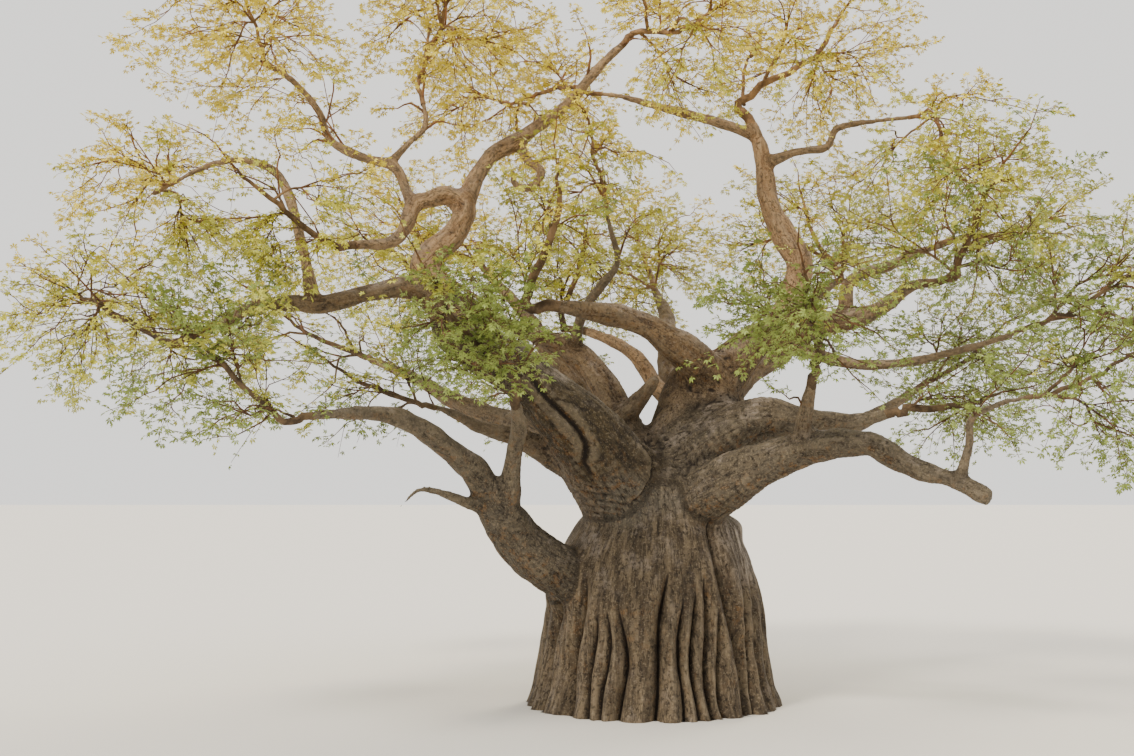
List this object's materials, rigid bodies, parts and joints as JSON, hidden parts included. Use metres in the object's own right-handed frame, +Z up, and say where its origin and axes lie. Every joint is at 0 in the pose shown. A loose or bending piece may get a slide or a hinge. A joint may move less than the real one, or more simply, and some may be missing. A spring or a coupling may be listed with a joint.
{
  "type": "baobab tree",
  "caption": "Old baobab tree with a squat, folded bell-shaped trunk, heavy crooked boughs and a wide, light, spreading crown.",
  "frame": {"origin": "middle of the flat cut at the foot of the trunk, on the ground", "axes": "+Z up, and the side seen in the picture faces -Y, with +X to the right"},
  "size_m": [27.3522, 21.3801, 19.8705],
  "materials": {
    "trunk_bark": "rough grey-brown bark in folds",
    "bough_bark": "smooth pale brown bark with wrinkles",
    "foliage": "soft matt leaves, yellow-green"
  },
  "bodies": {
    "root": {"trunk": "trunk_bark", "great_left_bough": "bough_bark", "right_crown_column": "bough_bark", "low_left_limb": "bough_bark", "low_left_upright": "bough_bark", "lowest_right_limb": "bough_bark", "upper_low_right_limb": "bough_bark", "left_middle_limb": "bough_bark", "second_left_bough": "bough_bark", "left_lower_limb": "bough_bark", "elbow_bough": "bough_bark", "top_centre_bough": "bough_bark", "upper_left_arm": "bough_bark", "upper_left_riser": "bough_bark", "left_bent_arm": "bough_bark", "twisted_riser": "bough_bark", "pale_back_limb": "bough_bark", "crossing_limb": "bough_bark", "upper_right_limb": "bough_bark", "s_bough": "bough_bark", "s_left_arm": "bough_bark", "s_step_arm": "bough_bark", "right_upper_limb": "bough_bark", "right_mid_limb": "bough_bark", "low_right_upright": "bough_bark", "right_hook_limb": "bough_bark", "back_left_low_bough": "bough_bark", "back_left_high_bough": "bough_bark", "back_middle_bough": "bough_bark", "back_right_high_bough": "bough_bark", "back_right_low_bough": "bough_bark", "back_low_bough": "bough_bark", "foliage_low_left": "foliage", "foliage_front_left": "foliage", "foliage_left_middle": "foliage", "foliage_far_left_low": "foliage", "foliage_left_front": "foliage", "foliage_top_centre": "foliage", "foliage_top_left": "foliage", "foliage_top_left_inner": "foliage", "foliage_far_left": "foliage", "foliage_left_inner": "foliage", "foliage_centre": "foliage", "foliage_centre_back": "foliage", "foliage_front_centre": "foliage", "foliage_right_front": "foliage", "foliage_top_right": "foliage", "foliage_top_back": "foliage", "foliage_high_right": "foliage", "foliage_right_low": "foliage", "foliage_right_low_front": "foliage", "foliage_front_right": "foliage", "foliage_far_right": "foliage", "foliage_right_upper": "foliage", "foliage_back_left_low": "foliage", "foliage_back_left_high": "foliage", "foliage_back_middle": "foliage", "foliage_back_right_high": "foliage", "foliage_back_right_low": "foliage", "foliage_back_low": "foliage"}
  },
  "joints": []
}
